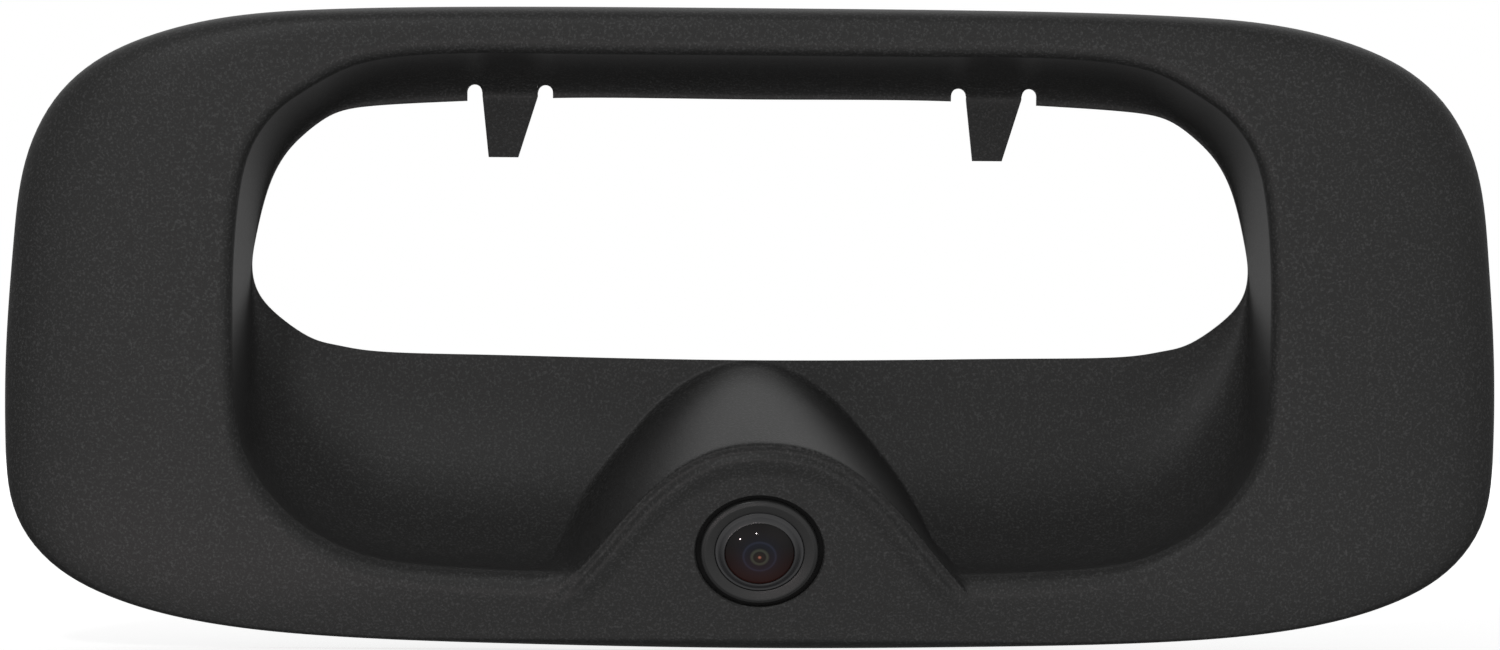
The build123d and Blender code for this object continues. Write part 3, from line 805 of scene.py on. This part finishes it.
def finishes():
    """One finish for each material slot of the record."""
    return {
        "bezel_plastic": grained_with_painted_sparkle(
            "bezel_plastic", (0.017, 0.0168, 0.0165), (0.06, 0.06, 0.06), 0.5, 0.42, 1700, 0.12, 0.7
        ),
        "housing_plastic": grained_with_painted_sparkle(
            "housing_plastic", (0.018, 0.018, 0.018), (0.026, 0.026, 0.026), 0.38, 0.5, 2600, 0.03, 0.3
        ),
        "black_rubber": even("black_rubber", (0.006, 0.006, 0.006), 0.8, 0.2),
        "lens_glass": glass_with_painted_reflections(),
        "filter_glass": even("filter_glass", (0.08, 0.02, 0.03), 0.08),
        "black_anodised": even("black_anodised", (0.025, 0.025, 0.027), 0.3, 0.7),
        "screw_steel": even("screw_steel", (0.5, 0.5, 0.5), 0.3, 0.5, 1.0),
        "bracket_steel": even("bracket_steel", (0.42, 0.42, 0.43), 0.38, 0.5, 1.0),
        "circuit_board": even("circuit_board", (0.01, 0.09, 0.03), 0.45),
        "chip_black": even("chip_black", (0.015, 0.015, 0.015), 0.5),
        "sensor_glass": even("sensor_glass", (0.03, 0.03, 0.05), 0.1),
        "connector_plastic": even("connector_plastic", (0.7, 0.68, 0.6), 0.5),
        "can_aluminium": even("can_aluminium", (0.6, 0.6, 0.62), 0.3, 0.5, 1.0),
    }


# ---------------------------------------------------------------- scene
FLOOR_GLOW = 0.75
FLOOR_GAP = 0.6                 # floor below the lowest edge of the bezel, in millimetres
FLOOR_REACH, FLOOR_THICKNESS = 2000, 4
BASE_LIGHT = 0.02
GLINT_POWER, GLINT_RADIUS = 1.8, 0.012

# The view, level with the bezel and a little to its left: metres, degrees, and millimetres.
VIEW_DISTANCE = 1.1
VIEW_AZIMUTH, VIEW_ROLL = radians(-0.7), radians(0.45)
VIEW_TARGET = (-0.35, 0, 0.85)
VIEW_SENSOR, VIEW_LENS = 36, 112.1

# Broad glows of the studio: direction, cosine where the light starts, strength.
GLOWS = [
    ((0, -1, 0), 0.0, 0.25),
    ((0, -0.7, -0.7), 0.2, 0.41),
    ((-1, -0.5, 0.3), 0.3, 0.23),
    ((1, -0.5, 0.3), 0.3, 0.28),
    ((0, 0.7, 0.7), 0.1, 0.46),
    ((0, 0.9, 0.45), 0.75, 0.35),
]


def area_light(name, place, size, power):
    """Rectangular lamp aimed at the bezel."""
    data = bpy.data.lights.new(name, "AREA")
    data.shape = "RECTANGLE"
    data.size, data.size_y = size
    data.energy = power
    obj = bpy.data.objects.new(name, data)
    obj.location = place
    obj.rotation_euler = (-Vector(place)).to_track_quat("-Z", "Y").to_euler()
    obj.visible_camera = False
    bpy.context.scene.collection.objects.link(obj)
    return obj


def glint(x, y, colour):
    """Small far lamp whose reflection in the front glass lies at this place on the glass."""
    ball = (GLASS_R**2 + GLASS_RISE**2) / (2 * GLASS_RISE)
    normal = Vector((x / ball, y / ball, 0))
    normal.z = (1 - normal.length_squared) ** 0.5
    place = to_camera() @ (Vector((x, y, 0)) * MM)
    normal = to_camera().to_3x3() @ normal
    sight = (place - bpy.context.scene.camera.location).normalized()
    data = bpy.data.lights.new("glint", "POINT")
    data.energy = GLINT_POWER
    data.color = colour
    data.shadow_soft_size = GLINT_RADIUS
    lamp = bpy.data.objects.new("glint", data)
    lamp.location = place + sight.reflect(normal)
    lamp.visible_camera = lamp.visible_diffuse = False
    bpy.context.scene.collection.objects.link(lamp)


def glow(tree, direction, start, strength):
    """Light that grows from nothing at cosine start to its full strength in a direction."""
    place = tree.nodes.new("ShaderNodeTexCoord")
    towards = tree.nodes.new("ShaderNodeVectorMath")
    towards.operation = "DOT_PRODUCT"
    towards.inputs[1].default_value = Vector(direction).normalized()
    spread = tree.nodes.new("ShaderNodeMapRange")
    spread.interpolation_type = "SMOOTHSTEP"
    spread.inputs["From Min"].default_value = start
    spread.inputs["To Max"].default_value = strength
    tree.links.new(place.outputs["Generated"], towards.inputs[0])
    tree.links.new(towards.outputs["Value"], spread.inputs["Value"])
    return spread.outputs["Result"]


def build_world():
    """White to the camera; as a light, the sum of the broad glows."""
    world = bpy.data.worlds.new("studio")
    bpy.context.scene.world = world
    world.use_nodes = True
    tree = world.node_tree
    tree.nodes.clear()
    link = tree.links.new
    output = tree.nodes.new("ShaderNodeOutputWorld")
    seen, lit = tree.nodes.new("ShaderNodeBackground"), tree.nodes.new("ShaderNodeBackground")
    for background in (seen, lit):
        background.inputs["Color"].default_value = (1, 1, 1, 1)
    total = None
    for direction, start, strength in GLOWS:
        added = tree.nodes.new("ShaderNodeMath")
        added.operation = "ADD"
        if total:
            link(total, added.inputs[0])
        else:
            added.inputs[0].default_value = BASE_LIGHT
        link(glow(tree, direction, start, strength), added.inputs[1])
        total = added.outputs["Value"]
    path, choose = tree.nodes.new("ShaderNodeLightPath"), tree.nodes.new("ShaderNodeMixShader")
    link(total, lit.inputs["Strength"])
    link(path.outputs["Is Camera Ray"], choose.inputs["Fac"])
    link(lit.outputs["Background"], choose.inputs[1])
    link(seen.outputs["Background"], choose.inputs[2])
    link(choose.outputs["Shader"], output.inputs["Surface"])


def build_floor(lowest):
    """Pale glowing floor under the bezel. It throws no light or shadow on it."""
    top = lowest / MM - FLOOR_GAP
    corner = (-FLOOR_REACH, -FLOOR_REACH, top - FLOOR_THICKNESS)
    floor = box("floor", corner, (FLOOR_REACH, FLOOR_REACH, top))
    recalculate_normals(floor)
    finish, shader = material("floor_pale", (0.5, 0.5, 0.5), 0.9, 0.1)
    shader.inputs["Emission Color"].default_value = (1, 1, 1, 1)
    shader.inputs["Emission Strength"].default_value = FLOOR_GLOW
    dress(floor, finish)
    floor.visible_diffuse = floor.visible_glossy = floor.visible_shadow = False


def build_view():
    """Camera level with the middle of the bezel and a little to its left."""
    data = bpy.data.cameras.new("view")
    data.sensor_width = VIEW_SENSOR
    data.lens = VIEW_LENS
    view = bpy.data.objects.new("view", data)
    place = Vector((VIEW_DISTANCE * sin(VIEW_AZIMUTH), -VIEW_DISTANCE * cos(VIEW_AZIMUTH), 0))
    aim = (Vector(VIEW_TARGET) * MM - place).to_track_quat("-Z", "Y").to_matrix()
    view.location = place
    view.rotation_euler = (aim @ Matrix.Rotation(VIEW_ROLL, 3, "Z")).to_euler()
    bpy.context.scene.collection.objects.link(view)
    bpy.context.scene.camera = view
    bpy.context.scene.view_settings.view_transform = "Standard"


def bounds_as_lists():
    """Lowest and highest corners of everything there is now, in metres."""
    return [list(map(float, corner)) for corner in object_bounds()]


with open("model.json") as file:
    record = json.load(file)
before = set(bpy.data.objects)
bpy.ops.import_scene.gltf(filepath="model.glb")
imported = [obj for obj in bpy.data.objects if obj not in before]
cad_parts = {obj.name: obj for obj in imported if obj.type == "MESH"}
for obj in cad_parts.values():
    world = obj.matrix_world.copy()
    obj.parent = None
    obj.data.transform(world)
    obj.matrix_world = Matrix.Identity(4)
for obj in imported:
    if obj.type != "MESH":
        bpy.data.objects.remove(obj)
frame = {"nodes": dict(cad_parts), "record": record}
START_BOUNDS = bounds_as_lists()
finish_of = finishes()

slot_of = {part["node"]: part["material_slot"] for part in frame["record"]["subparts"]}
for node, obj in frame["nodes"].items():
    slot = slot_of[node]
    dress(obj, finish_of[slot])
    shade(obj, 30)

bezel = build_bezel()
dress(bezel, finish_of["bezel_plastic"])
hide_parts("bezel_shell")
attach(bezel, "bezel")

for side in TABS:
    tab = build_tab(side)
    dress(tab, finish_of["bezel_plastic"])
    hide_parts("release_tab_" + side)
    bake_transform(tab)

camera = build_camera()
for name, slot, node in (
    ("camera_seal", "black_rubber", "camera_seal_ring"),
    ("camera_front", "housing_plastic", "camera_front_housing"),
    ("lens_retainer", "black_anodised", "lens_retainer_ring"),
    ("front_glass", "lens_glass", "lens_front_element"),
):
    piece = camera[name]
    dress(piece, finish_of[slot])
    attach(piece, "bezel")
    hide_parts(node)

build_world()
build_floor(START_BOUNDS[0][2])
build_view()
area_light("key", place=(-0.35, -0.85, 0.75), size=(0.12, 0.12), power=2.0)
rear = area_light("rear", place=(0, 1.6, 0.2), size=(0.5, 0.3), power=7)
rear.visible_glossy = False
glint(-4.5, 4.2, (1.0, 0.8, 0.82))
glint(-0.8, 5.8, (1.0, 0.9, 0.9))
